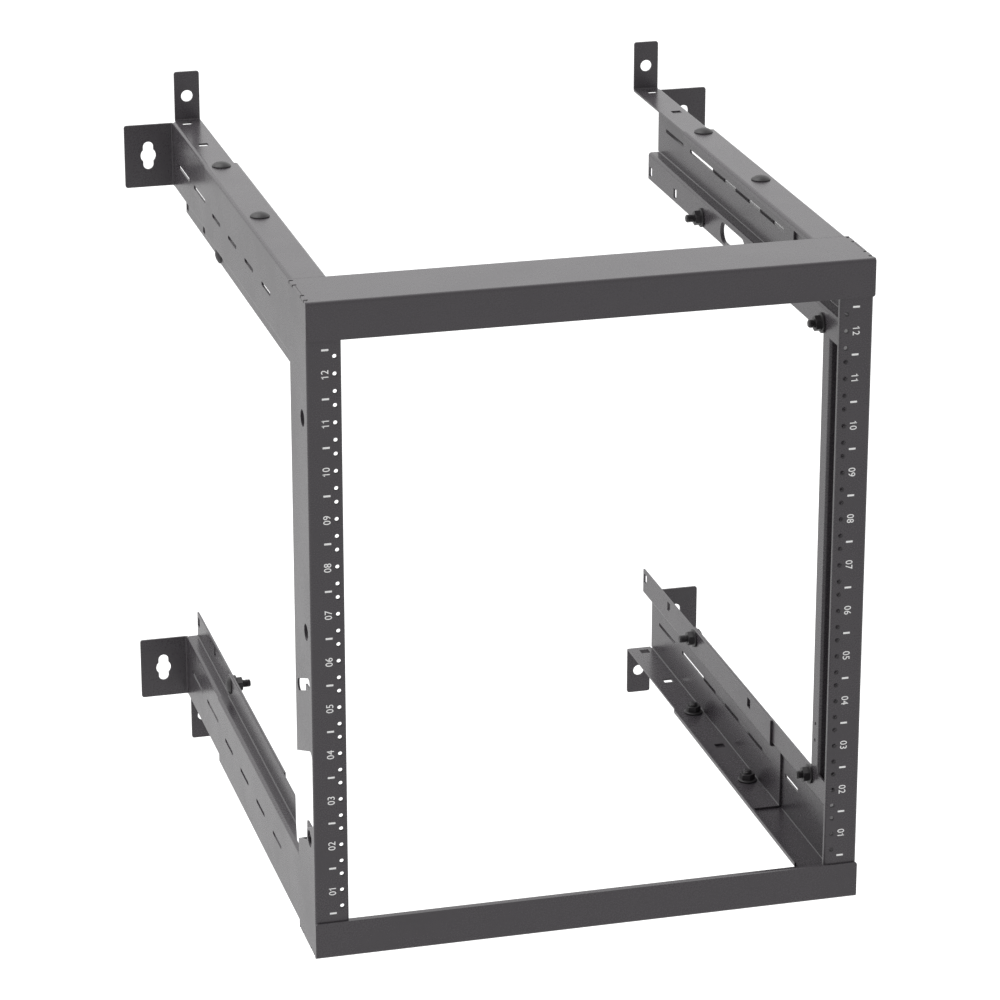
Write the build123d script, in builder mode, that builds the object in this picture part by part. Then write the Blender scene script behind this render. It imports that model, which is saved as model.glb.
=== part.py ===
from build123d import *
import os
from math import atan, degrees

# Open frame wall mount rack, 12 rack units, bent from sheet steel, in millimetres.
# The frame: +Z up, +Y into the wall, the equipment goes in from -Y.
# The origin lies on the wall face of the upper left arm, on its fixing tab below the hole.

# Sheet
SHEET = 1.9
BEND = 1.2
NEST_GAP = 0.3

# Rack standard
RACK_UNIT = 44.45
UNITS = 12
RACK_COLUMN = 232.55
UNIT_HOLES = (6.35, 22.225, 38.1)
RACK_HOLE = 4.6
RACK_THREAD = 3.2
RACK_COLLAR = 7.0

# Frame
DEPTH = 634.4
BAR_RISE = 43.8
BAR_HEIGHT = 35.2
BAR_DEPTH = 71.0
BAR_OVERHANG = 0.6
BAR_CORNER = 2.5
POST_OUTER_MARGIN = 24.85
POST_INNER_MARGIN = 6.2
POST_LIP = 6.0
STRIP_END = 88.0
SEAM_TABS = (14.2, 59.8)
SEAM_TAB_LENGTH = 11.0
SEAM_RELIEF_LENGTH = 2.6
SEAM_RELIEF_REACH = 3.6

# Holes in the side of the posts
SIDE_HOLE = 15.5
SIDE_HOLE_BACK = 20.5
SIDE_HOLE_SPACING = 200.0
STRIP_HOLE = 3.6
STRIP_HOLE_BACK = 80.0
STRIP_HOLE_HEIGHTS = (99.3, 82.5)

# Cable openings in the left post, heights above the lower rack unit line; their edges slope down to the wall
NOTCH_FRONT = 4.5
NOTCH_TOP = 158.5
NOTCH_STEP = 84.0
NOTCH_STEP_FRONT = 32.0
NOTCH_BOTTOM = 60.3
NOTCH_CORNER = 7.0
CABLE_SLOPE = 0.39
CABLE_SLOT_HEIGHT = 211.0
CABLE_SLOT_BACK = 35.0
CABLE_SLOT_LENGTH = 54.0
CABLE_SLOT_WIDTH = 11.0
CABLE_GAP_HEIGHT = 196.5
CABLE_GAP = 15.0

# Arm section, outer faces of the front arm
ARM_WEB_HEIGHT = 72.1
ARM_FULL_HEIGHT = 95.5
ARM_FLANGE = 33.4
ARM_RETURN = 6.0
ARM_SHELF = 11.3
FRONT_ARM_END = 456.0
FLANGE_INSET = 1.0

# Wall arm
WALL_ARM_LENGTH = 431.0
TAB_ROOT = 6.4
TAB_WIDTH = 25.1
TAB_RISE = 49.2
TAB_HOLE = 11.8
TAB_HOLE_RISE = 24.4
TAB_HOLE_BELOW = 12.7
TAB_CORNER = 2.5
SIDE_TAB_REACH = 48.4
SIDE_TAB_HEIGHT = 63.5
SIDE_TAB_DROP = 2.2
KEYHOLE_REACH = 24.7
KEYHOLE_DROP = 33.7
KEYHOLE_ROUND = 15.4
KEYHOLE_WIDTH = 10.4
KEYHOLE_HEIGHT = 28.2

# Bite out of the lower left arm's shelf and lip, behind the cable notch
BITE_FRONT = 92.0
BITE_WEB_BACK = 82.0
BITE_LIP_BACK = 141.0

# Bolts and their square holes
SQUARE_HOLE = 9.5
BOLT_BACK = 91.8
BOLT_PITCH = 88.9
WALL_HOLE = 14.2
FLANGE_BOLT_INSET = 15.0
LIP_BOLT_RISE = 8.6
BOLT_HEAD = 18.2
BOLT_DOME = 4.4
BOLT_RIM = 0.9
BOLT_NECK = 8.0
BOLT_SHANK = 7.8
BOLT_LENGTH = 20.5
SHORT_BOLT_LENGTH = 15.5
NUT_BORE = 8.4
NUT_ACROSS = 13.0
NUT_COLLAR = 19.0
NUT_COLLAR_HEIGHT = 1.8
NUT_HEIGHT = 8.0

# Slots in the arms
WEB_SLOT_WIDTH = 3.8
WEB_SLOT_DROP = 40.0
FRONT_SLOT_LENGTH = 38.0
FRONT_SLOT_BACK = 175.5
FRONT_SLOT_PITCH = 75.6
FRONT_SLOTS = 4
WALL_SLOT_LENGTH = 59.0
WALL_SLOT_FROM_WALL = 58.9
LONG_SLOT_LENGTH = 293.0
LONG_SLOT_FROM_WALL = 256.9
HARNESS_SLOT_LENGTH = 76.0
HARNESS_SLOT_WIDTH = 20.0
HARNESS_SLOT_BACK = 350.0
HARNESS_SLOT_RISE = 12.8

# Places worked out from the sizes above, measured from the middle of the rack
BEND_OUT = BEND + SHEET
NEST = SHEET + NEST_GAP
BAY_HALF = UNITS * RACK_UNIT / 2
POST_HALF = RACK_COLUMN + POST_OUTER_MARGIN
POST_INNER = RACK_COLUMN - POST_INNER_MARGIN
BAR_HALF = POST_HALF + BAR_OVERHANG
FRAME_TOP = BAY_HALF + BAR_RISE
BAR_EDGE = FRAME_TOP - BAR_HEIGHT
POST_TOP = FRAME_TOP - SHEET - BEND
ARM_HALF = POST_HALF - SHEET
ARM_SHELF_LEVEL = FRAME_TOP - ARM_WEB_HEIGHT
ARM_LIP_EDGE = FRAME_TOP - ARM_FULL_HEIGHT
ARM_LIP_HALF = ARM_HALF - ARM_SHELF
ARM_FLANGE_EDGE = ARM_HALF - ARM_FLANGE
ARM_FRONT = SHEET + BEND + NEST_GAP
BAR_SHEET_HALF = ARM_HALF - NEST_GAP
FOLD_END = ARM_SHELF_LEVEL - NEST_GAP
FOLD_EDGE = ARM_LIP_HALF + 2 * NEST_GAP
WALL_TOP = FRAME_TOP - NEST
WALL_HALF = ARM_HALF - NEST
WALL_SHELF_LEVEL = ARM_SHELF_LEVEL + NEST
WALL_LIP_HALF = ARM_LIP_HALF - NEST
WALL_FLANGE_EDGE = ARM_FLANGE_EDGE + SHEET + FLANGE_INSET
WALL_ARM_FRONT = DEPTH - WALL_ARM_LENGTH
TAB_TOP = WALL_TOP + TAB_RISE
TAB_HOLE_HEIGHT = WALL_TOP + TAB_HOLE_RISE
TAB_HOLE_HALF = WALL_FLANGE_EDGE + TAB_WIDTH / 2
SIDE_TAB_HALF = WALL_HALF + SIDE_TAB_REACH
KEYHOLE_HALF = WALL_HALF + KEYHOLE_REACH
KEYHOLE_LEVEL = WALL_TOP - KEYHOLE_DROP
WEB_SLOT_LEVEL = FRAME_TOP - WEB_SLOT_DROP
FLANGE_BOLT_HALF = ARM_HALF - FLANGE_BOLT_INSET
LIP_BOLT_LEVEL = ARM_LIP_EDGE + LIP_BOLT_RISE
HARNESS_SLOT_LEVEL = ARM_LIP_EDGE + HARNESS_SLOT_RISE
CUT = 4 * SHEET

# The middle of the rack's front, seen from the origin
MID_X = TAB_HOLE_HALF
FRONT_Y = -DEPTH
MID_Z = TAB_HOLE_BELOW - TAB_HOLE_HEIGHT

LEFT = -1
RIGHT = 1
LOWER = -1
UPPER = 1
SIDES = {"left": LEFT, "right": RIGHT}
LEVELS = {"upper": UPPER, "lower": LOWER}
HARNESS_ARM = (RIGHT, UPPER)
BITTEN_ARM = (LEFT, LOWER)


def bolt_row(*steps):
    """Depths of the bolt holes that lie so many pitches behind the first one."""
    return [BOLT_BACK + step * BOLT_PITCH for step in steps]


FLANGE_BOLTS = bolt_row(2, 4)
LIP_BOLTS = bolt_row(0, 4)
WALL_FLANGE_HOLES = bolt_row(2, 3, 4, 5) + [DEPTH - WALL_HOLE]
WALL_LIP_HOLES = bolt_row(2, 4, 5) + [DEPTH - WALL_HOLE]


def lip_bolt_backs(side, level):
    """Depths of one arm's lip bolts: the bitten arm has no front one."""
    return LIP_BOLTS[1:] if (side, level) == BITTEN_ARM else LIP_BOLTS


def side_plane(half):
    """Upright plane along the rack's side; its axes are depth and height."""
    return Plane(origin=(MID_X + half, FRONT_Y, MID_Z), x_dir=(0, 1, 0), z_dir=(1, 0, 0))


def level_plane(level):
    """Level plane; its axes are width and depth."""
    return Plane(origin=(MID_X, FRONT_Y, MID_Z + level), x_dir=(1, 0, 0), z_dir=(0, 0, 1))


def cross_plane(back):
    """Upright plane across the rack that faces the front; its axes are width and height."""
    return Plane(origin=(MID_X, FRONT_Y + back, MID_Z), x_dir=(1, 0, 0), z_dir=(0, -1, 0))


def bent_sheet(points, radii, turned):
    """Section of a bent sheet. The points run along its outer face, the sheet lies to one side."""
    with BuildLine() as outline:
        FilletPolyline(*points, radius=radii)
        offset(amount=SHEET, side=Side.RIGHT if turned > 0 else Side.LEFT)
    make_face(outline.edges())


def save(part, name):
    part.part.label = name
    export_step(part.part, f"parts/{name}.step")


def front_bar(name, level):
    """Cross bar: a front plate over the posts and a flange over their ends."""
    with BuildPart() as bar:
        with BuildSketch(side_plane(0)):
            points = [(-SHEET, level * BAR_EDGE), (-SHEET, level * FRAME_TOP), (BAR_DEPTH, level * FRAME_TOP)]
            bent_sheet(points, BEND_OUT, level)
        extrude(amount=BAR_HALF, both=True)
        plate_corners = bar.edges().filter_by(Axis.Y).group_by(Axis.Z)[0 if level > 0 else -1]
        fillet(plate_corners, BAR_CORNER)
        with BuildSketch(level_plane(level * FRAME_TOP)):
            for side in (LEFT, RIGHT):
                with Locations((side * (BAR_SHEET_HALF + BAR_HALF) / 2, (BEND_OUT + BAR_DEPTH) / 2)):
                    Rectangle(BAR_HALF - BAR_SHEET_HALF, BAR_DEPTH - BEND_OUT)
                with Locations(*[(side * (BAR_SHEET_HALF + POST_HALF) / 2, back) for back in SEAM_TABS]):
                    Rectangle(POST_HALF - BAR_SHEET_HALF, SEAM_TAB_LENGTH, mode=Mode.SUBTRACT)
                relief_middle = BAR_HALF - (SEAM_RELIEF_REACH + BAR_OVERHANG) / 2
                relief_step = (SEAM_TAB_LENGTH + SEAM_RELIEF_LENGTH) / 2
                relief_backs = [back + end * relief_step for back in SEAM_TABS for end in (-1, 1)]
                with Locations(*[(side * relief_middle, back) for back in relief_backs]):
                    Rectangle(SEAM_RELIEF_REACH + BAR_OVERHANG, SEAM_RELIEF_LENGTH)
        extrude(amount=-level * SHEET, mode=Mode.SUBTRACT)
    save(bar, name)


def cable_openings():
    """Cut the left post open for cables: a notch through its rear fold and a slot above it."""
    behind = STRIP_END + CUT
    top_drop = CABLE_SLOPE * (behind - NOTCH_FRONT)
    step_drop = CABLE_SLOPE * (NOTCH_STEP_FRONT - NOTCH_FRONT)
    bottom_drop = CABLE_SLOPE * (behind - NOTCH_STEP_FRONT)
    with BuildSketch(side_plane(-POST_HALF)) as notch:
        with BuildLine():
            Polyline(
                (NOTCH_FRONT, NOTCH_TOP - BAY_HALF),
                (NOTCH_FRONT, NOTCH_STEP - BAY_HALF),
                (NOTCH_STEP_FRONT, NOTCH_STEP - step_drop - BAY_HALF),
                (NOTCH_STEP_FRONT, NOTCH_BOTTOM - BAY_HALF),
                (behind, NOTCH_BOTTOM - bottom_drop - BAY_HALF),
                (behind, NOTCH_TOP - top_drop - BAY_HALF),
                close=True,
            )
        make_face()
        fillet(notch.vertices().sort_by(Axis.X)[:-2], NOTCH_CORNER)
    extrude(notch.sketch, amount=POST_HALF - ARM_LIP_HALF + CUT, mode=Mode.SUBTRACT)
    with BuildSketch(side_plane(-POST_HALF)) as side_slot:
        with Locations((CABLE_SLOT_BACK, CABLE_SLOT_HEIGHT - BAY_HALF)):
            SlotOverall(CABLE_SLOT_LENGTH, CABLE_SLOT_WIDTH, rotation=-degrees(atan(CABLE_SLOPE)))
    extrude(side_slot.sketch, amount=SHEET, mode=Mode.SUBTRACT)
    gap_from, gap_to = ARM_LIP_HALF - CUT, ARM_HALF - SHEET
    with BuildSketch(cross_plane(STRIP_END)) as gap:
        with Locations((-(gap_from + gap_to) / 2, CABLE_GAP_HEIGHT - BAY_HALF)):
            Rectangle(gap_to - gap_from, CABLE_GAP)
    extrude(gap.sketch, amount=STRIP_END - BAR_DEPTH + SHEET, mode=Mode.SUBTRACT)


def post(name, side):
    """Front post: a channel with the rack holes, and a rear fold between the arms."""
    channel = [(POST_INNER, POST_LIP), (POST_INNER, 0), (POST_HALF, 0), (POST_HALF, BAR_DEPTH)]
    rear_fold = [(ARM_LIP_HALF, BAR_DEPTH), (ARM_LIP_HALF, STRIP_END)]
    short_fold = [(FOLD_EDGE, BAR_DEPTH)]
    with BuildPart() as piece:
        with BuildSketch(level_plane(0)):
            points = [(side * across, back) for across, back in channel + rear_fold]
            bent_sheet(points, [BEND_OUT, BEND_OUT, BEND_OUT, BEND], -side)
        extrude(amount=ARM_LIP_EDGE, both=True)
        for level in (LOWER, UPPER):
            with BuildSketch(level_plane(level * ARM_LIP_EDGE)):
                bent_sheet([(side * across, back) for across, back in channel + short_fold], BEND_OUT, -side)
            extrude(amount=level * (FOLD_END - ARM_LIP_EDGE))
            with BuildSketch(level_plane(level * FOLD_END)):
                bent_sheet([(side * across, back) for across, back in channel], BEND_OUT, -side)
            extrude(amount=level * (POST_TOP - FOLD_END))
            with BuildSketch(side_plane(side * POST_HALF)):
                with Locations(((ARM_FRONT + BAR_DEPTH) / 2, level * (FRAME_TOP + FOLD_END) / 2)):
                    Rectangle(BAR_DEPTH - ARM_FRONT, FRAME_TOP - FOLD_END)
                with Locations(*[(back, level * FRAME_TOP) for back in SEAM_TABS]):
                    Rectangle(SEAM_TAB_LENGTH + 2 * SEAM_RELIEF_LENGTH, 2 * (SHEET + NEST_GAP), mode=Mode.SUBTRACT)
            extrude(amount=-side * SHEET)
        unit_floors = [unit * RACK_UNIT - BAY_HALF for unit in range(UNITS)]
        rack_places = [(side * RACK_COLUMN, floor + hole) for floor in unit_floors for hole in UNIT_HOLES]
        with BuildSketch(cross_plane(RACK_THREAD)) as collars:
            with Locations(*rack_places):
                Circle(RACK_COLLAR / 2)
        extrude(collars.sketch, amount=RACK_THREAD - SHEET)
        with BuildSketch(cross_plane(RACK_THREAD)) as rack_holes:
            with Locations(*rack_places):
                Circle(RACK_HOLE / 2)
        extrude(rack_holes.sketch, amount=RACK_THREAD, mode=Mode.SUBTRACT)
        with BuildSketch(side_plane(side * POST_HALF)):
            with Locations((SIDE_HOLE_BACK, 0)):
                with GridLocations(1, SIDE_HOLE_SPACING, 1, 3):
                    Circle(SIDE_HOLE / 2)
        extrude(amount=-side * SHEET, mode=Mode.SUBTRACT)
        if side == RIGHT:
            with BuildSketch(side_plane(ARM_LIP_HALF)):
                with Locations(*[(STRIP_HOLE_BACK, height - BAY_HALF) for height in STRIP_HOLE_HEIGHTS]):
                    Circle(STRIP_HOLE / 2)
            extrude(amount=-SHEET, mode=Mode.SUBTRACT)
        else:
            cable_openings()
    save(piece, name)


def square_holes(plane, places, depth):
    """Square holes for bolt necks, cut through a sheet from one face."""
    with BuildSketch(plane) as holes:
        with Locations(*places):
            Rectangle(SQUARE_HOLE, SQUARE_HOLE)
    extrude(holes.sketch, amount=depth, mode=Mode.SUBTRACT)


def slots(plane, places, length, width, depth):
    """Slots along the arm, cut through a sheet from one face."""
    with BuildSketch(plane) as openings:
        with Locations(*places):
            SlotOverall(length, width)
    extrude(openings.sketch, amount=depth, mode=Mode.SUBTRACT)


def shelf_bite():
    """Cut a bite out of the lower left arm's shelf and lip, with a slanting end towards the wall."""
    slope = (BITE_LIP_BACK - BITE_WEB_BACK) / (ARM_HALF - ARM_LIP_HALF)
    with BuildSketch(level_plane(-(ARM_SHELF_LEVEL + CUT))) as bite:
        with BuildLine():
            Polyline(
                (-ARM_HALF + (BITE_FRONT - BITE_WEB_BACK) / slope, BITE_FRONT),
                (-ARM_LIP_HALF + CUT, BITE_FRONT),
                (-ARM_LIP_HALF + CUT, BITE_LIP_BACK + slope * CUT),
                close=True,
            )
        make_face()
    extrude(bite.sketch, amount=ARM_SHELF_LEVEL - ARM_LIP_EDGE + 2 * CUT, mode=Mode.SUBTRACT)


def front_arm(name, side, level):
    """Front arm: flange with a return, web, shelf and lip. It carries on inside the post."""
    hand = side * level
    web_to_lip = [(ARM_HALF, ARM_SHELF_LEVEL), (ARM_LIP_HALF, ARM_SHELF_LEVEL), (ARM_LIP_HALF, ARM_LIP_EDGE)]
    flange = [(ARM_FLANGE_EDGE, FRAME_TOP - ARM_RETURN), (ARM_FLANGE_EDGE, FRAME_TOP), (ARM_HALF, FRAME_TOP)]
    web_top = [(ARM_HALF, POST_TOP)]
    with BuildPart() as arm:
        with BuildSketch(cross_plane(FRONT_ARM_END)):
            points = [(side * across, level * up) for across, up in flange + web_to_lip]
            bent_sheet(points, [BEND_OUT, BEND_OUT, BEND_OUT, BEND], hand)
        extrude(amount=FRONT_ARM_END - BAR_DEPTH - NEST_GAP)
        with BuildSketch(cross_plane(BAR_DEPTH + NEST_GAP)):
            points = [(side * across, level * up) for across, up in web_top + web_to_lip]
            bent_sheet(points, [BEND_OUT, BEND], hand)
        extrude(amount=BAR_DEPTH + NEST_GAP - ARM_FRONT)
        flange_places = [(side * FLANGE_BOLT_HALF, back) for back in FLANGE_BOLTS]
        square_holes(level_plane(level * FRAME_TOP), flange_places, -level * SHEET)
        lip_places = [(back, level * LIP_BOLT_LEVEL) for back in lip_bolt_backs(side, level)]
        square_holes(side_plane(side * ARM_LIP_HALF), lip_places, -side * SHEET)
        slot_places = [
            (FRONT_SLOT_BACK + number * FRONT_SLOT_PITCH, level * WEB_SLOT_LEVEL) for number in range(FRONT_SLOTS)
        ]
        slots(side_plane(side * ARM_HALF), slot_places, FRONT_SLOT_LENGTH, WEB_SLOT_WIDTH, -side * SHEET)
        if (side, level) == HARNESS_ARM:
            harness = [(HARNESS_SLOT_BACK, level * HARNESS_SLOT_LEVEL)]
            slots(side_plane(side * ARM_LIP_HALF), harness, HARNESS_SLOT_LENGTH, HARNESS_SLOT_WIDTH, -side * SHEET)
        elif (side, level) == BITTEN_ARM:
            shelf_bite()
    save(arm, name)


def wall_arm(name, side, level):
    """Wall arm, nested in the front arm, with two fixing tabs bent at its wall end."""
    hand = side * level
    section = [
        (WALL_FLANGE_EDGE, WALL_TOP),
        (WALL_HALF, WALL_TOP),
        (WALL_HALF, WALL_SHELF_LEVEL),
        (WALL_LIP_HALF, WALL_SHELF_LEVEL),
        (WALL_LIP_HALF, ARM_LIP_EDGE),
    ]
    root = DEPTH - TAB_ROOT
    with BuildPart() as arm:
        with BuildSketch(cross_plane(root)):
            bent_sheet([(side * across, level * up) for across, up in section], [BEND_OUT, BEND_OUT, BEND], hand)
        extrude(amount=root - WALL_ARM_FRONT)
        with BuildSketch(side_plane(side * WALL_FLANGE_EDGE)):
            under = level * (WALL_TOP - SHEET)
            bent_sheet([(root, under), (DEPTH, under), (DEPTH, level * TAB_TOP)], BEND_OUT, -level)
        extrude(amount=side * TAB_WIDTH)
        tab_ends = arm.edges().filter_by(Axis.Y).sort_by(Axis.Z)
        fillet(tab_ends[-2:] if level > 0 else tab_ends[:2], TAB_CORNER)
        side_tab_top = WALL_TOP - SIDE_TAB_DROP
        with BuildSketch(level_plane(level * side_tab_top)):
            inside = side * (WALL_HALF - SHEET)
            bent_sheet([(inside, root), (inside, DEPTH), (side * SIDE_TAB_HALF, DEPTH)], BEND_OUT, side)
        extrude(amount=-level * SIDE_TAB_HEIGHT)
        side_ends = arm.edges().filter_by(Axis.Y).sort_by(Axis.X)
        fillet(side_ends[-2:] if side > 0 else side_ends[:2], TAB_CORNER)
        with BuildSketch(cross_plane(DEPTH)):
            with Locations((side * TAB_HOLE_HALF, level * TAB_HOLE_HEIGHT)):
                Circle(TAB_HOLE / 2)
            with Locations((side * KEYHOLE_HALF, level * KEYHOLE_LEVEL)):
                Circle(KEYHOLE_ROUND / 2)
                SlotOverall(KEYHOLE_HEIGHT, KEYHOLE_WIDTH, rotation=90)
        extrude(amount=SHEET, mode=Mode.SUBTRACT)
        flange_places = [(side * FLANGE_BOLT_HALF, back) for back in WALL_FLANGE_HOLES]
        square_holes(level_plane(level * WALL_TOP), flange_places, -level * SHEET)
        lip_places = [(back, level * LIP_BOLT_LEVEL) for back in WALL_LIP_HOLES]
        square_holes(side_plane(side * WALL_LIP_HALF), lip_places, -side * SHEET)
        web = side_plane(side * WALL_HALF)
        short_slot = [(DEPTH - WALL_SLOT_FROM_WALL, level * WEB_SLOT_LEVEL)]
        slots(web, short_slot, WALL_SLOT_LENGTH, WEB_SLOT_WIDTH, -side * SHEET)
        long_slot = [(DEPTH - LONG_SLOT_FROM_WALL, level * WEB_SLOT_LEVEL)]
        slots(web, long_slot, LONG_SLOT_LENGTH, WEB_SLOT_WIDTH, -side * SHEET)
        if (side, level) == HARNESS_ARM:
            harness = [(HARNESS_SLOT_BACK, level * HARNESS_SLOT_LEVEL)]
            slots(side_plane(side * WALL_LIP_HALF), harness, HARNESS_SLOT_LENGTH, HARNESS_SLOT_WIDTH, -side * SHEET)
    save(arm, name)


def flange_seats(side, level):
    """Planes on the front arm's flange, facing out of the arm, where the bolt heads sit."""
    places = [(side * FLANGE_BOLT_HALF, back) for back in FLANGE_BOLTS]
    return [
        Plane(origin=(MID_X + across, FRONT_Y + back, MID_Z + level * FRAME_TOP), x_dir=(1, 0, 0), z_dir=(0, 0, level))
        for across, back in places
    ]


def lip_seats(side, level):
    """Planes on the front arm's lip, facing out of the rack, where the bolt heads sit."""
    height = MID_Z + level * LIP_BOLT_LEVEL
    return [
        Plane(origin=(MID_X + side * ARM_LIP_HALF, FRONT_Y + back, height), x_dir=(0, 1, 0), z_dir=(side, 0, 0))
        for back in lip_bolt_backs(side, level)
    ]


def carriage_bolts(name, seats, lengths):
    """Domed bolts with a square neck, one on each seat."""
    with BuildPart() as bolts:
        for seat, length in zip(seats, lengths):
            half_section = Plane(origin=seat.origin, x_dir=seat.x_dir, z_dir=-seat.y_dir)
            with BuildSketch(half_section):
                with BuildLine():
                    Polyline((0, BOLT_DOME), (0, -length), (BOLT_SHANK / 2, -length), (BOLT_SHANK / 2, 0))
                    Polyline((BOLT_SHANK / 2, 0), (BOLT_HEAD / 2, 0), (BOLT_HEAD / 2, BOLT_RIM))
                    TangentArc((0, BOLT_DOME), (BOLT_HEAD / 2, BOLT_RIM), tangent=(1, 0))
                make_face()
            revolve(axis=Axis(seat.origin, seat.z_dir))
            with BuildSketch(seat):
                Rectangle(BOLT_NECK, BOLT_NECK)
            extrude(amount=-SHEET)
    save(bolts, name)


def collar_nuts(name, seats, grips):
    """Hexagon nuts with a round collar, each below its seat by the thickness it clamps."""
    with BuildPart() as nuts:
        for seat, grip in zip(seats, grips):
            with BuildSketch(seat.offset(-grip)):
                Circle(NUT_COLLAR / 2)
                Circle(NUT_BORE / 2, mode=Mode.SUBTRACT)
            extrude(amount=-NUT_COLLAR_HEIGHT)
            with BuildSketch(seat.offset(-grip - NUT_COLLAR_HEIGHT)):
                RegularPolygon(NUT_ACROSS / 2, 6, major_radius=False)
                Circle(NUT_BORE / 2, mode=Mode.SUBTRACT)
            extrude(amount=-(NUT_HEIGHT - NUT_COLLAR_HEIGHT))
    save(nuts, name)


front_bar("top_bar", UPPER)
front_bar("bottom_bar", LOWER)
for side_name, side in SIDES.items():
    post(f"{side_name}_post", side)
    for level_name, level in LEVELS.items():
        corner = f"{level_name}_{side_name}"
        front_arm(f"{corner}_front_arm", side, level)
        wall_arm(f"{corner}_wall_arm", side, level)
        flange = flange_seats(side, level)
        carriage_bolts(f"{corner}_flange_bolts", flange, [SHORT_BOLT_LENGTH] * len(flange))
        collar_nuts(f"{corner}_flange_nuts", flange, [SHEET + NEST] * len(flange))
        lip = lip_seats(side, level)
        carriage_bolts(f"{corner}_lip_bolts", lip, [SHORT_BOLT_LENGTH, BOLT_LENGTH][-len(lip):])
        collar_nuts(f"{corner}_lip_nuts", lip, [SHEET, SHEET + NEST][-len(lip):])
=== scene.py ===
from math import cos, pi, radians, sin, sqrt

import bpy
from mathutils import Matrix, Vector


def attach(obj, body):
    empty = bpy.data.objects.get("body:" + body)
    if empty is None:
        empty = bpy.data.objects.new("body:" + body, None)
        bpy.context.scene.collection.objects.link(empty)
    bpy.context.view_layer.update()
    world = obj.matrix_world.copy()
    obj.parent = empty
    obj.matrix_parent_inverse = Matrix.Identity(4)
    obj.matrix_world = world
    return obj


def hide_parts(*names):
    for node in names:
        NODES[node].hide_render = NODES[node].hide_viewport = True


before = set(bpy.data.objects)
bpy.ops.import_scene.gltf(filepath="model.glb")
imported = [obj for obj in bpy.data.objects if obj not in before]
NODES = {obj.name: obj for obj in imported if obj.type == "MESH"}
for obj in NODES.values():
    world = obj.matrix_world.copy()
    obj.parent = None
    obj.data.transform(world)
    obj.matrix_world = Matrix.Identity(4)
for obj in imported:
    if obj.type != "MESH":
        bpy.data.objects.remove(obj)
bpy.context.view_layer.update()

# An open frame wall mount rack of 12 units. Sizes are in millimetres, down to the floor and the light.
MM = 0.001

# The rack's own sizes, measured from the middle of its front
MID_X = 237.55
FRONT_Y = -634.4
MID_Z = -320.0
RACK_UNIT = 44.45
UNITS = 12
FRAME_TOP = 310.5
SHEET = 1.9
NEST = 2.2
LEFT = -1
RIGHT = 1
LOWER = -1
UPPER = 1
SIDES = {"left": LEFT, "right": RIGHT}
LEVELS = {"lower": LOWER, "upper": UPPER}

# Carriage bolts
HEAD_RADIUS = 9.1
HEAD_SEGMENTS = 48
HEAD_RINGS = 72
DOME_HEIGHT = 4.4
RIM_HEIGHT = 0.9
RIM_ROUNDING = 0.25
NECK = 8.0
NECK_ROUNDING = 0.4
THREAD_RADIUS = 3.9
THREAD_PITCH = 1.25
THREAD_FILL = 0.9
THREAD_CENTRE = 0.25
THREAD_FROM_END = 0.7
THREAD_STEPS = 20
CORE_RADIUS = 3.35
CORE_SIDES = 32
CORE_CHAMFER = 0.5
BOLT_LENGTH = 20.5
SHORT_BOLT_LENGTH = 15.5

# Collar nuts
NUT_ACROSS = 13.0
NUT_HEIGHT = 8.0
NUT_CHAMFER = 0.1
NUT_CHAMFER_SLOPE = 1.7
NUT_COLLAR = 9.5
NUT_COLLAR_HEIGHT = 1.8
NUT_COLLAR_RIM = 1.9
NUT_COLLAR_CONE = 0.5
NUT_COLLAR_ROUNDING = 0.3
NUT_SIDES = 64
NUT_END_FACING = -0.9
NUT_BORE = 4.0
NUT_BORE_SIDES = 32

# Places of the bolts, across and up from the middle and back from the front
FLANGE_BOLT_X = 240.5
FLANGE_BOLTS = (269.6, 447.4)
LIP_BOLT_X = 244.2
LIP_BOLT_Z = 223.6
LIP_BOLTS = (91.8, 447.4)
BITTEN_CORNER = "lower_left"

# Rack holes and their threads
RACK_COLUMN = 232.55
UNIT_HOLES = (6.35, 22.225, 38.1)
HOLE_RADIUS = 2.3
HOLE_MIDDLE = 1.6
HOLE_DEPTH = 2.6
HOLE_PITCH = 0.8
HOLE_TURNS = 3
HOLE_STEPS = 16
HOLE_RIDGE = 0.4

# Printed marks on the front of the posts
MARK_X = 241.2
TICK_LENGTH = 6.4
TICK_HEIGHT = 1.8
TICK_ROUNDING = 0.3
FIGURE_SIZE = 9.4
FIGURE_NARROWING = 0.92
FIGURE_STROKE = 0.035
FIGURE_PITCH = 4.5
FIGURE_HEIGHT = 6.9
FIGURE_CURVE_STEPS = 4
FLAG_LENGTH = 2.1
FLAG_WIDTH = 0.85
FLAG_TURN = radians(38)
PRINT_THICKNESS = 0.08

# Modelling steps that the pieces share


def metres(spot):
    """A place in millimetres as Blender's metres."""
    return [value * MM for value in spot]


def deselect():
    for thing in bpy.context.selected_objects:
        thing.select_set(False)


def pick(*things):
    """Select these objects and make the first of them active."""
    deselect()
    for thing in things:
        thing.select_set(True)
    bpy.context.view_layer.objects.active = things[0]


def named(name):
    """Name the object that an operator has just added."""
    thing = bpy.context.object
    thing.name = name
    thing.data.name = name
    return thing


def settle(thing):
    """Put the object at the origin, with its place in its mesh."""
    pick(thing)
    bpy.ops.object.transform_apply(location=True, rotation=True, scale=True)
    return thing


def join(things, name):
    """Join meshes into one piece with its place in its mesh."""
    pick(*things)
    if len(things) > 1:
        bpy.ops.object.join()
    thing = bpy.context.object
    thing.name = name
    thing.data.name = name
    return settle(thing)


def apply_modifiers(thing):
    pick(thing)
    for modifier in list(thing.modifiers):
        bpy.ops.object.modifier_apply(modifier=modifier.name)


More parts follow.
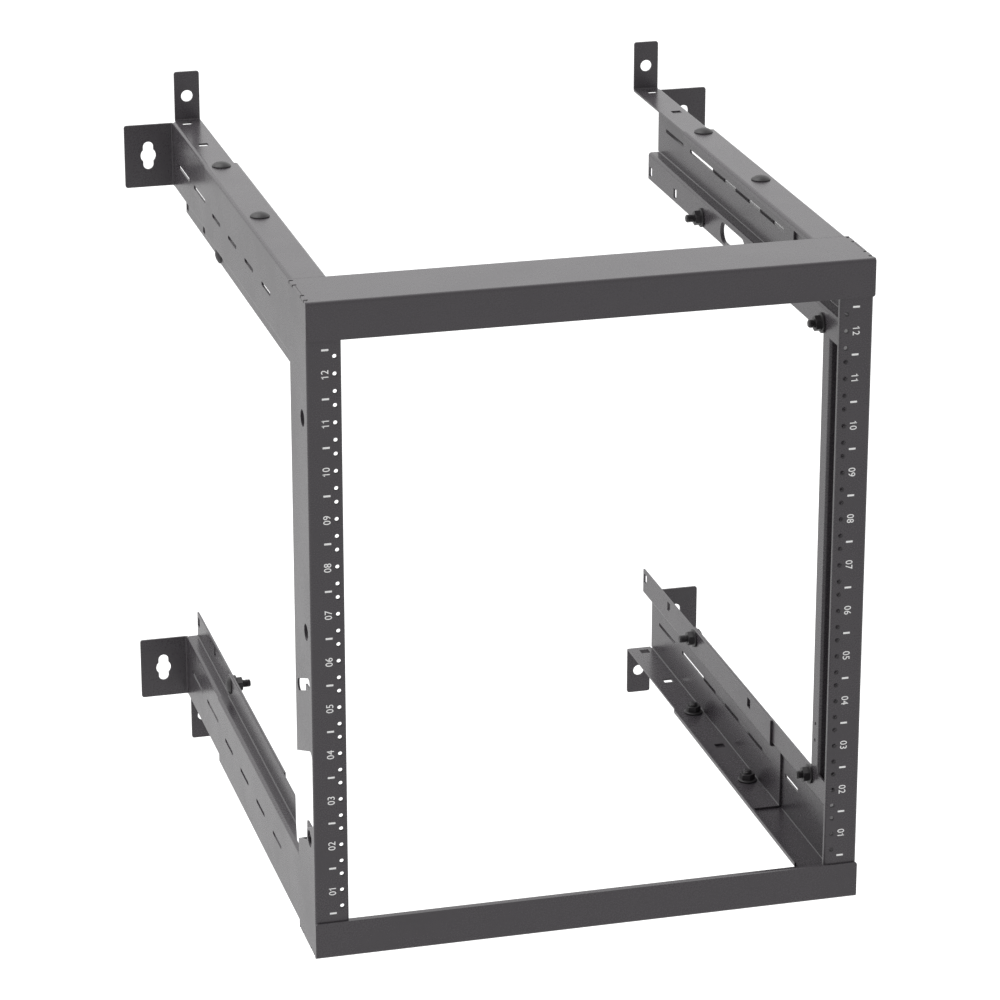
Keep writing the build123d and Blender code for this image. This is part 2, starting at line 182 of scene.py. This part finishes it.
def bevelled(thing, width, segments, angle=radians(30)):
    """Round or chamfer the edges that are sharper than an angle."""
    bevel = thing.modifiers.new("rounded edges", "BEVEL")
    bevel.width = width * MM
    bevel.segments = segments
    bevel.limit_method = "ANGLE"
    bevel.angle_limit = angle
    apply_modifiers(thing)


def cut(thing, tool, operation):
    """Cut a mesh with another and remove the cutter."""
    boolean = thing.modifiers.new("cut", "BOOLEAN")
    boolean.operation = operation
    boolean.object = tool
    boolean.solver = "EXACT"
    apply_modifiers(thing)
    bpy.data.objects.remove(tool)


def smooth(thing, angle=radians(35)):
    pick(thing)
    bpy.ops.object.shade_smooth_by_angle(angle=angle)


def edit_all():
    """Start editing the active mesh with all of it selected."""
    bpy.ops.object.mode_set(mode="EDIT")
    bpy.ops.mesh.select_all(action="SELECT")


def turn_faces_outward():
    """Set the normals of the mesh that is edited, and stop editing."""
    bpy.ops.mesh.select_all(action="SELECT")
    bpy.ops.mesh.normals_make_consistent(inside=False)
    bpy.ops.object.mode_set(mode="OBJECT")


def wound(ridge, pitch, turns, steps):
    """Wind a three-sided section round the Z axis into a ridge with closed ends."""
    winding = ridge.modifiers.new("winding", "SCREW")
    winding.axis = "Z"
    winding.screw_offset = pitch * MM
    winding.iterations = turns
    winding.steps = steps
    winding.render_steps = steps
    winding.use_merge_vertices = False
    apply_modifiers(ridge)
    pick(ridge)
    edit_all()
    bpy.ops.mesh.fill_holes(sides=3)
    turn_faces_outward()
    return ridge


def copied(source):
    """A copy of a model with a mesh of its own."""
    thing = source.copy()
    thing.data = source.data.copy()
    bpy.context.scene.collection.objects.link(thing)
    return thing


# Materials


class Nodes:
    """A node tree with short calls for adding nodes and joining them."""

    def __init__(self, tree):
        self.tree = tree

    def add(self, kind, inputs=None, **settings):
        node = self.tree.nodes.new(kind)
        for key, value in settings.items():
            setattr(node, key, value)
        for key, value in (inputs or {}).items():
            if isinstance(value, bpy.types.NodeSocket):
                self.tree.links.new(value, node.inputs[key])
            else:
                node.inputs[key].default_value = value
        return node

    def math(self, operation, first, second=0.5, third=0.5):
        return self.add("ShaderNodeMath", {0: first, 1: second, 2: third}, operation=operation).outputs[0]

    def ramp(self, value, low, high, to_low=0.0, to_high=1.0):
        """Spread a value's range over another, clamped at both ends."""
        spread = {"Value": value, "From Min": low, "From Max": high, "To Min": to_low, "To Max": to_high}
        return self.add("ShaderNodeMapRange", spread, clamp=True).outputs["Result"]

    def blend(self, factor, first, second):
        """Mix two colours."""
        mix = self.add("ShaderNodeMix", data_type="RGBA")
        for label, value in (("Factor", factor), ("A", first), ("B", second)):
            if isinstance(value, bpy.types.NodeSocket):
                self.tree.links.new(value, mix.inputs[label])
            else:
                mix.inputs[label].default_value = value
        return mix.outputs["Result"]

    def noise(self, place, **values):
        """Noise with the sockets Scale, Detail and Roughness given by those names in small letters."""
        inputs = {"Vector": place, **{label.capitalize(): value for label, value in values.items()}}
        return self.add("ShaderNodeTexNoise", inputs).outputs["Fac"]

    def scaled(self, vector, factor):
        return self.add("ShaderNodeVectorMath", {0: vector, "Scale": factor}, operation="SCALE").outputs[0]


PIT_SCALE = 0.8
PIT_DEPTH = 0.35
PEEL_ROUGHNESS = 0.02
CLOUD_ROUGHNESS = 0.06
SPECK_BRIGHTNESS = 1.7
BEVEL_SAMPLES = 4


def new_group(name, inputs, outputs):
    """A shader node group with named float and colour sockets."""
    tree = bpy.data.node_groups.new(name, "ShaderNodeTree")
    for label, kind, value in inputs:
        socket = tree.interface.new_socket(label, in_out="INPUT", socket_type=kind)
        socket.default_value = value
    for label, kind in outputs:
        tree.interface.new_socket(label, in_out="OUTPUT", socket_type=kind)
    nodes = Nodes(tree)
    entry = nodes.add("NodeGroupInput")
    leave = nodes.add("NodeGroupOutput")
    return nodes, entry.outputs, leave.inputs


def coat_grain():
    """Sprayed texture: a fine orange peel, wide cloudy shade and small specks."""
    nodes, given, out = new_group(
        "Sprayed texture",
        [
            ("Colour", "NodeSocketColor", (0.05, 0.05, 0.05, 1.0)),
            ("Peel size mm", "NodeSocketFloat", 1.0),
            ("Peel depth", "NodeSocketFloat", 0.5),
            ("Cloud", "NodeSocketFloat", 0.1),
            ("Speck", "NodeSocketFloat", 0.2),
            ("Roughness", "NodeSocketFloat", 0.35),
        ],
        [("Colour", "NodeSocketColor"), ("Roughness", "NodeSocketFloat"), ("Height", "NodeSocketFloat")],
    )
    place = nodes.add("ShaderNodeTexCoord").outputs["Object"]
    peel_scale = nodes.math("DIVIDE", 1 / MM, given["Peel size mm"])
    peel = nodes.noise(place, scale=peel_scale, detail=3.0, roughness=0.55)
    pit_scale = nodes.math("MULTIPLY", peel_scale, PIT_SCALE)
    pits = nodes.add("ShaderNodeTexVoronoi", {"Vector": place, "Scale": pit_scale}).outputs["Distance"]
    cloud = nodes.noise(place, scale=14.0, detail=4.0, roughness=0.6)
    specks = nodes.noise(place, scale=620.0, detail=1.0)
    cloudy = nodes.ramp(cloud, 0.3, 0.7, -0.5, 0.5)
    speckled = nodes.ramp(specks, 0.6, 0.72)
    tone = nodes.math("MULTIPLY_ADD", cloudy, given["Cloud"], 1.0)
    toned = nodes.scaled(given["Colour"], tone)
    lighter = nodes.scaled(toned, SPECK_BRIGHTNESS)
    colour = nodes.blend(nodes.math("MULTIPLY", speckled, given["Speck"]), toned, lighter)
    nodes.tree.links.new(colour, out["Colour"])
    dull = nodes.math("MULTIPLY_ADD", cloudy, CLOUD_ROUGHNESS, given["Roughness"])
    grainy = nodes.ramp(peel, 0.35, 0.65, -PEEL_ROUGHNESS, PEEL_ROUGHNESS)
    nodes.tree.links.new(nodes.math("ADD", dull, grainy), out["Roughness"])
    lumps = nodes.math("MULTIPLY_ADD", pits, PIT_DEPTH, peel)
    nodes.tree.links.new(nodes.math("MULTIPLY", lumps, given["Peel depth"]), out["Height"])
    return nodes.tree


def edge_wear():
    """Coating that is thinner on sharp edges, broken up by noise."""
    nodes, given, out = new_group(
        "Thin on edges",
        [("Width mm", "NodeSocketFloat", 0.6), ("Amount", "NodeSocketFloat", 0.5)],
        [("Mask", "NodeSocketFloat")],
    )
    reach = nodes.math("MULTIPLY", given["Width mm"], MM)
    rounded = nodes.add("ShaderNodeBevel", {"Radius": reach}, samples=BEVEL_SAMPLES).outputs["Normal"]
    flat = nodes.add("ShaderNodeNewGeometry").outputs["Normal"]
    facing = nodes.add("ShaderNodeVectorMath", {0: rounded, 1: flat}, operation="DOT_PRODUCT")
    edge = nodes.ramp(facing.outputs["Value"], 0.995, 0.85)
    place = nodes.add("ShaderNodeTexCoord").outputs["Object"]
    breaks = nodes.noise(place, scale=160.0, detail=4.0, roughness=0.6)
    patchy = nodes.ramp(breaks, 0.38, 0.62)
    worn = nodes.math("MULTIPLY", edge, nodes.math("MULTIPLY", patchy, given["Amount"]))
    nodes.tree.links.new(worn, out["Mask"])
    return nodes.tree


GRAIN = coat_grain()
WEAR = edge_wear()


def new_material(name):
    """A material, its nodes and its Principled BSDF."""
    material = bpy.data.materials.new(name)
    material.use_nodes = True
    nodes = Nodes(material.node_tree)
    shader = material.node_tree.nodes["Principled BSDF"]
    return material, nodes, shader


def coated_metal(name, colour, edge_colour, grain, wear, bump):
    """A finish from the sprayed texture and the thin edges. The bump is in millimetres."""
    material, nodes, shader = new_material(name)
    sprayed = nodes.add("ShaderNodeGroup", node_tree=GRAIN)
    sprayed.inputs["Colour"].default_value = (*colour, 1.0)
    for label, value in grain.items():
        sprayed.inputs[label].default_value = value
    edges = nodes.add("ShaderNodeGroup", wear, node_tree=WEAR)
    surface = nodes.blend(edges.outputs["Mask"], sprayed.outputs["Colour"], (*edge_colour, 1.0))
    nodes.tree.links.new(surface, shader.inputs["Base Color"])
    nodes.tree.links.new(sprayed.outputs["Roughness"], shader.inputs["Roughness"])
    grains = {"Height": sprayed.outputs["Height"], "Strength": 1.0, "Distance": bump * MM}
    relief = nodes.add("ShaderNodeBump", grains)
    nodes.tree.links.new(relief.outputs["Normal"], shader.inputs["Normal"])
    return material


POWDER_COAT = coated_metal(
    "dark grey powder coat",
    colour=(0.059, 0.053, 0.0595),
    edge_colour=(0.078, 0.073, 0.077),
    grain={"Peel size mm": 1.5, "Peel depth": 0.5, "Cloud": 0.08, "Speck": 0.06, "Roughness": 0.27},
    wear={"Width mm": 0.7, "Amount": 0.6},
    bump=0.01,
)
BLACK_ZINC = coated_metal(
    "black zinc plating",
    colour=(0.024, 0.022, 0.024),
    edge_colour=(0.07, 0.067, 0.069),
    grain={"Peel size mm": 0.5, "Peel depth": 0.3, "Cloud": 0.3, "Speck": 0.1, "Roughness": 0.42},
    wear={"Width mm": 0.3, "Amount": 0.7},
    bump=0.02,
)

INK_WHITE = (0.95, 0.95, 0.945, 1.0)
INK_THIN = (0.60, 0.60, 0.60, 1.0)
INK_BUMP = 0.02


def pad_print():
    """White marking ink, a little thin where the coat's grain stands up."""
    material, nodes, shader = new_material("white marking ink")
    place = nodes.add("ShaderNodeTexCoord").outputs["Object"]
    grain = nodes.noise(place, scale=900.0, detail=3.0)
    thin = nodes.ramp(grain, 0.55, 0.75, 0.0, 0.25)
    ink = nodes.blend(thin, INK_WHITE, INK_THIN)
    nodes.tree.links.new(ink, shader.inputs["Base Color"])
    matt = nodes.ramp(grain, 0.3, 0.7, 0.42, 0.58)
    nodes.tree.links.new(matt, shader.inputs["Roughness"])
    relief = nodes.add("ShaderNodeBump", {"Height": grain, "Strength": 0.5, "Distance": INK_BUMP * MM})
    nodes.tree.links.new(relief.outputs["Normal"], shader.inputs["Normal"])
    return material


MARKING_INK = pad_print()


def finish_piece(thing, material, slot, *replaced):
    """Give a piece its material, attach it to the root body and hide the nodes that it replaces. The slot
    is not used.
    """
    thing.data.materials.clear()
    thing.data.materials.append(material)
    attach(thing, "root")
    if replaced:
        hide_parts(*replaced)


# Bolts and nuts, modelled once along +Z with the seat at the origin


def bolt_head():
    """Low dome with a narrow rim."""
    radius = (HEAD_RADIUS**2 + (DOME_HEIGHT - RIM_HEIGHT) ** 2) / (2 * (DOME_HEIGHT - RIM_HEIGHT))
    bpy.ops.mesh.primitive_uv_sphere_add(
        segments=HEAD_SEGMENTS,
        ring_count=HEAD_RINGS,
        radius=radius * MM,
        location=(0, 0, (DOME_HEIGHT - radius) * MM),
    )
    dome = settle(named("dome"))
    edit_all()
    bpy.ops.mesh.bisect(
        plane_co=(0, 0, RIM_HEIGHT * MM), plane_no=(0, 0, 1), clear_inner=True, use_fill=True
    )
    bpy.ops.mesh.extrude_region_move(TRANSFORM_OT_translate={"value": (0, 0, -RIM_HEIGHT * MM)})
    turn_faces_outward()
    bevelled(dome, RIM_ROUNDING, 2, radians(40))
    return dome


def square_neck():
    """The square under the head that sits in the outer sheet's hole."""
    bpy.ops.mesh.primitive_cube_add(size=1.0, location=(0, 0, -SHEET / 2 * MM))
    neck = named("neck")
    neck.scale = (NECK * MM, NECK * MM, SHEET * MM)
    settle(neck)
    bevelled(neck, NECK_ROUNDING, 2)
    return neck


def threaded_shank(length):
    """A core with a helical thread wound round it and a chamfered end."""
    bpy.ops.mesh.primitive_cylinder_add(
        vertices=CORE_SIDES,
        radius=CORE_RADIUS * MM,
        depth=(length - SHEET) * MM,
        location=(0, 0, -(length + SHEET) / 2 * MM),
    )
    core = settle(named("core"))
    bevelled(core, CORE_CHAMFER, 1, radians(60))
    bpy.ops.mesh.primitive_circle_add(
        vertices=3,
        radius=(THREAD_RADIUS - CORE_RADIUS) * THREAD_FILL * MM,
        location=((CORE_RADIUS + THREAD_CENTRE) * MM, 0, -(length - THREAD_FROM_END) * MM),
        rotation=(pi / 2, pi / 2, 0),
    )
    turns = int((length - SHEET) / THREAD_PITCH) - 1
    return [core, wound(settle(named("thread")), THREAD_PITCH, turns, THREAD_STEPS)]


def carriage_bolt(length):
    """A bolt of one length under its head."""
    bolt = join([bolt_head(), square_neck(), *threaded_shank(length)], "carriage bolt")
    smooth(bolt)
    return bolt


def collar_nut():
    """Hexagon nut with a turned chamfer and a collar. The collar lies on z = 0 and the nut points down."""
    corner = NUT_ACROSS / sqrt(3)
    bpy.ops.mesh.primitive_cylinder_add(
        vertices=6, radius=corner * MM, depth=NUT_HEIGHT * MM, location=(0, 0, -NUT_HEIGHT / 2 * MM)
    )
    nut = settle(named("hexagon"))
    bpy.ops.mesh.primitive_cone_add(
        vertices=NUT_SIDES,
        radius1=(NUT_ACROSS / 2 - NUT_CHAMFER) * MM,
        radius2=(NUT_ACROSS / 2 - NUT_CHAMFER + NUT_HEIGHT * NUT_CHAMFER_SLOPE) * MM,
        depth=NUT_HEIGHT * MM,
        location=(0, 0, -NUT_HEIGHT / 2 * MM),
    )
    cut(nut, settle(named("chamfer")), "INTERSECT")
    bpy.ops.mesh.primitive_cylinder_add(
        vertices=NUT_SIDES,
        radius=NUT_COLLAR * MM,
        depth=NUT_COLLAR_HEIGHT * MM,
        location=(0, 0, -NUT_COLLAR_HEIGHT / 2 * MM),
    )
    collar = settle(named("collar"))
    bpy.ops.object.mode_set(mode="EDIT")
    bpy.ops.mesh.select_all(action="DESELECT")
    bpy.ops.object.mode_set(mode="OBJECT")
    for face in collar.data.polygons:
        face.select = face.normal.z < NUT_END_FACING
    bpy.ops.object.mode_set(mode="EDIT")
    bpy.ops.mesh.inset(thickness=NUT_COLLAR_RIM * MM)
    bpy.ops.transform.translate(value=(0, 0, -NUT_COLLAR_CONE * MM))
    bpy.ops.object.mode_set(mode="OBJECT")
    bevelled(collar, NUT_COLLAR_ROUNDING, 2, radians(40))
    cut(nut, collar, "UNION")
    bpy.ops.mesh.primitive_cylinder_add(
        vertices=NUT_BORE_SIDES, radius=NUT_BORE * MM, depth=3 * NUT_HEIGHT * MM
    )
    cut(nut, settle(named("bore")), "DIFFERENCE")
    nut.name = "collar nut"
    smooth(nut, radians(30))
    return nut


def placed(source, spot, outward):
    """A copy of a fastener with its seat at a spot and its head facing outward."""
    thing = copied(source)
    thing.rotation_euler = outward.to_track_quat("Z", "Y").to_euler()
    thing.location = metres(spot)
    return settle(thing)


def fastened(corner, kind, seats, outward, bolts, grips, nut):
    """The bolts and nuts of one flange or lip. A grip is the sheet between a bolt's head and its nut."""
    node = f"{corner}_{kind}_bolts"
    pieces = [placed(bolt, seat, outward) for bolt, seat in zip(bolts, seats)]
    finish_piece(join(pieces, f"{node}_threaded"), BLACK_ZINC, "bolt", node)
    node = f"{corner}_{kind}_nuts"
    pieces = [placed(nut, Vector(seat) - outward * grip, outward) for seat, grip in zip(seats, grips)]
    finish_piece(join(pieces, f"{node}_chamfered"), BLACK_ZINC, "nut", node)


def fasteners():
    """Threaded bolts and chamfered nuts in place of the plain ones, two on each flange and lip."""
    long_bolt = carriage_bolt(BOLT_LENGTH)
    short_bolt = carriage_bolt(SHORT_BOLT_LENGTH)
    nut = collar_nut()
    for level_name, level in LEVELS.items():
        for side_name, side in SIDES.items():
            corner = f"{level_name}_{side_name}"
            x = MID_X + side * FLANGE_BOLT_X
            z = MID_Z + level * FRAME_TOP
            seats = [(x, FRONT_Y + back, z) for back in FLANGE_BOLTS]
            outward = Vector((0, 0, level))
            fastened(corner, "flange", seats, outward, [short_bolt] * 2, [SHEET + NEST] * 2, nut)
            x = MID_X + side * LIP_BOLT_X
            z = MID_Z + level * LIP_BOLT_Z
            seats = [(x, FRONT_Y + back, z) for back in LIP_BOLTS]
            outward = Vector((side, 0, 0))
            # The bitten arm has no front bolt in its lip
            kept = slice(1, None) if corner == BITTEN_CORNER else slice(None)
            bolts = [short_bolt, long_bolt][kept]
            grips = [SHEET, SHEET + NEST][kept]
            fastened(corner, "lip", seats[kept], outward, bolts, grips, nut)
    for model in (long_bolt, short_bolt, nut):
        bpy.data.objects.remove(model)


# Printed marks


def tick(x, z):
    """A short dash with rounded corners, printed on the front of a post."""
    bpy.ops.mesh.primitive_plane_add(size=1.0, location=metres((x, FRONT_Y, z)), rotation=(pi / 2, 0, 0))
    dash = named("tick")
    dash.scale = (TICK_LENGTH * MM, TICK_HEIGHT * MM, 1)
    settle(dash)
    edit_all()
    bpy.ops.mesh.bevel(offset=TICK_ROUNDING * MM, segments=2, affect="VERTICES")
    bpy.ops.mesh.select_all(action="SELECT")
    bpy.ops.mesh.extrude_region_move(TRANSFORM_OT_translate={"value": (0, -PRINT_THICKNESS * MM, 0)})
    turn_faces_outward()
    return dash


def figure(character):
    """A printed digit at the origin, upright and facing the front."""
    bpy.ops.object.text_add(location=(0, -PRINT_THICKNESS / 2 * MM, 0), rotation=(pi / 2, 0, 0))
    digit = bpy.context.object
    digit.data.body = character
    digit.data.size = FIGURE_SIZE * MM
    digit.data.align_x = "CENTER"
    digit.data.align_y = "CENTER"
    digit.data.offset = FIGURE_STROKE * MM
    digit.data.extrude = PRINT_THICKNESS / 2 * MM
    digit.data.resolution_u = FIGURE_CURVE_STEPS
    pick(digit)
    bpy.ops.object.convert(target="MESH")
    digit = settle(named(f"figure {character}"))
    digit.scale = (FIGURE_NARROWING, 1, 1)
    settle(digit)
    if character == "1":
        digit = join([digit, flag_of_one()], "figure 1")
    return digit


def flag_of_one():
    """The slanting stroke at the top of the digit 1."""
    low = FLAG_LENGTH / 2
    height = FIGURE_HEIGHT / 2 - FLAG_WIDTH / 2 - low * sin(FLAG_TURN)
    spot = metres((-low * cos(FLAG_TURN), -PRINT_THICKNESS / 2, height))
    bpy.ops.mesh.primitive_cube_add(size=1.0, location=spot, rotation=(0, -FLAG_TURN, 0))
    flag = named("flag")
    flag.scale = (FLAG_LENGTH * MM, PRINT_THICKNESS * MM, FLAG_WIDTH * MM)
    return settle(flag)


def marks():
    """Ticks at the unit lines and unit numbers, which read up the left post and down the right one."""
    digits = {character: figure(character) for character in "0123456789"}
    for side_name, side in SIDES.items():
        x = MID_X + side * MARK_X
        bottom = MID_Z - UNITS * RACK_UNIT / 2
        pieces = [tick(x, bottom + count * RACK_UNIT) for count in range(UNITS + 1)]
        for unit in range(1, UNITS + 1):
            middle = bottom + (unit - 0.5) * RACK_UNIT
            for place, character in zip((-0.5, 0.5), f"{unit:02d}"):
                digit = copied(digits[character])
                digit.rotation_euler = (0, side * pi / 2, 0)
                digit.location = metres((x, FRONT_Y, middle - side * place * FIGURE_PITCH))
                pieces.append(settle(digit))
        finish_piece(join(pieces, f"{side_name}_post_marks"), MARKING_INK, "marking")
    for digit in digits.values():
        bpy.data.objects.remove(digit)


# Threads in the rack holes


def hole_thread():
    """A helical ridge for one rack hole, modelled at the origin with its axis along Y."""
    bpy.ops.mesh.primitive_circle_add(
        vertices=3,
        radius=HOLE_RIDGE * MM,
        location=(HOLE_RADIUS * MM, 0, -HOLE_DEPTH / 2 * MM),
        rotation=(pi / 2, -pi / 2, 0),
    )
    ridge = wound(settle(named("hole thread")), HOLE_PITCH, HOLE_TURNS, HOLE_STEPS)
    ridge.rotation_euler = (pi / 2, 0, 0)
    return settle(ridge)


def rack_hole_threads():
    """One piece for each post, with the thread of all its rack holes."""
    model = hole_thread()
    smooth(model)
    for side_name, side in SIDES.items():
        ridges = []
        for unit in range(UNITS):
            for hole in UNIT_HOLES:
                ridge = copied(model)
                height = MID_Z + (unit - UNITS / 2) * RACK_UNIT + hole
                ridge.location = metres((MID_X + side * RACK_COLUMN, FRONT_Y + HOLE_MIDDLE, height))
                ridges.append(settle(ridge))
        finish_piece(join(ridges, f"{side_name}_post_threads"), POWDER_COAT, "sheet")
    bpy.data.objects.remove(model)


deselect()
for name, node in NODES.items():
    node.data.materials.clear()
    node.data.materials.append(BLACK_ZINC if name.endswith(("bolts", "nuts")) else POWDER_COAT)

fasteners()
marks()
rack_hole_threads()

# Floor, light and camera, in metres and degrees
FLOOR_LEVEL = -0.95
FLOOR_SIZE = 60
FLOOR_COLOUR = (0.82, 0.82, 0.82, 1.0)
FLOOR_ROUGHNESS = 0.9
FLOOR_GLOW = 0.45
LAMP_PLACE = (-0.8, 0.4, 2.6)
LAMP_SIZE = 2.2
LAMP_POWER = 36
LAMP_TARGET = metres((MID_X, FRONT_Y / 2, MID_Z))
CAMERA_PLACE = (-0.730692, -3.933359, 1.042378)
CAMERA_DIP = 20.0608
CAMERA_TURN = -14.9777
CAMERA_SENSOR = 36
CAMERA_LENS = 148.909
CAMERA_REACH = 100
WHITE = (1, 1, 1, 1)


def pale_floor():
    """A floor that glows to the camera alone, so that it is nearly white and keeps the rack's shadow."""
    bpy.ops.mesh.primitive_plane_add(size=FLOOR_SIZE, location=(0, 0, FLOOR_LEVEL))
    floor = named("floor")
    material, nodes, shader = new_material("pale floor")
    shader.inputs["Base Color"].default_value = FLOOR_COLOUR
    shader.inputs["Roughness"].default_value = FLOOR_ROUGHNESS
    glow = nodes.add("ShaderNodeEmission", {"Color": WHITE, "Strength": FLOOR_GLOW})
    glowing = nodes.add("ShaderNodeAddShader", {0: shader.outputs[0], 1: glow.outputs[0]})
    camera_ray = nodes.add("ShaderNodeLightPath").outputs["Is Camera Ray"]
    choice = {0: camera_ray, 1: shader.outputs[0], 2: glowing.outputs[0]}
    seen = nodes.add("ShaderNodeMixShader", choice)
    nodes.tree.links.new(seen.outputs[0], nodes.tree.nodes["Material Output"].inputs["Surface"])
    floor.data.materials.append(material)


def studio_world():
    """White to the camera. The rack gets more light from behind and above, and some from the front."""
    world = bpy.data.worlds.new("studio")
    bpy.context.scene.world = world
    world.use_nodes = True
    sky = Nodes(world.node_tree)
    background = world.node_tree.nodes["Background"]
    direction = sky.add("ShaderNodeSeparateXYZ", {0: sky.add("ShaderNodeTexCoord").outputs["Generated"]})
    above = sky.ramp(direction.outputs["Z"], -0.1, 0.9, 0.72, 1.0)
    behind = sky.ramp(direction.outputs["Y"], -0.6, 0.6, 0.4, 1.45)
    front = sky.ramp(direction.outputs["Y"], -0.45, -0.95, 0.0, 0.45)
    shade = sky.math("MULTIPLY", above, sky.math("ADD", behind, front))
    camera_ray = sky.add("ShaderNodeLightPath").outputs["Is Camera Ray"]
    level = sky.add("ShaderNodeMix", {"Factor": camera_ray, "A": shade, "B": 1.0}, data_type="FLOAT")
    sky.tree.links.new(level.outputs["Result"], background.inputs["Strength"])
    background.inputs["Color"].default_value = WHITE


def overhead_lamp():
    bpy.ops.object.light_add(type="AREA", location=LAMP_PLACE)
    lamp = named("overhead")
    lamp.data.size = LAMP_SIZE
    lamp.data.energy = LAMP_POWER
    lamp.rotation_euler = (Vector(LAMP_TARGET) - Vector(LAMP_PLACE)).to_track_quat("-Z", "Y").to_euler()


def camera():
    """The view of the photograph, fitted to the marks and hole rows of both posts."""
    bpy.ops.object.camera_add(location=CAMERA_PLACE)
    viewer = named("camera")
    viewer.rotation_euler = (radians(90 - CAMERA_DIP), 0, radians(CAMERA_TURN))
    viewer.data.sensor_width = CAMERA_SENSOR
    viewer.data.lens = CAMERA_LENS
    viewer.data.clip_end = CAMERA_REACH
    bpy.context.scene.camera = viewer


pale_floor()
studio_world()
overhead_lamp()
camera()
bpy.context.scene.view_settings.view_transform = "Standard"
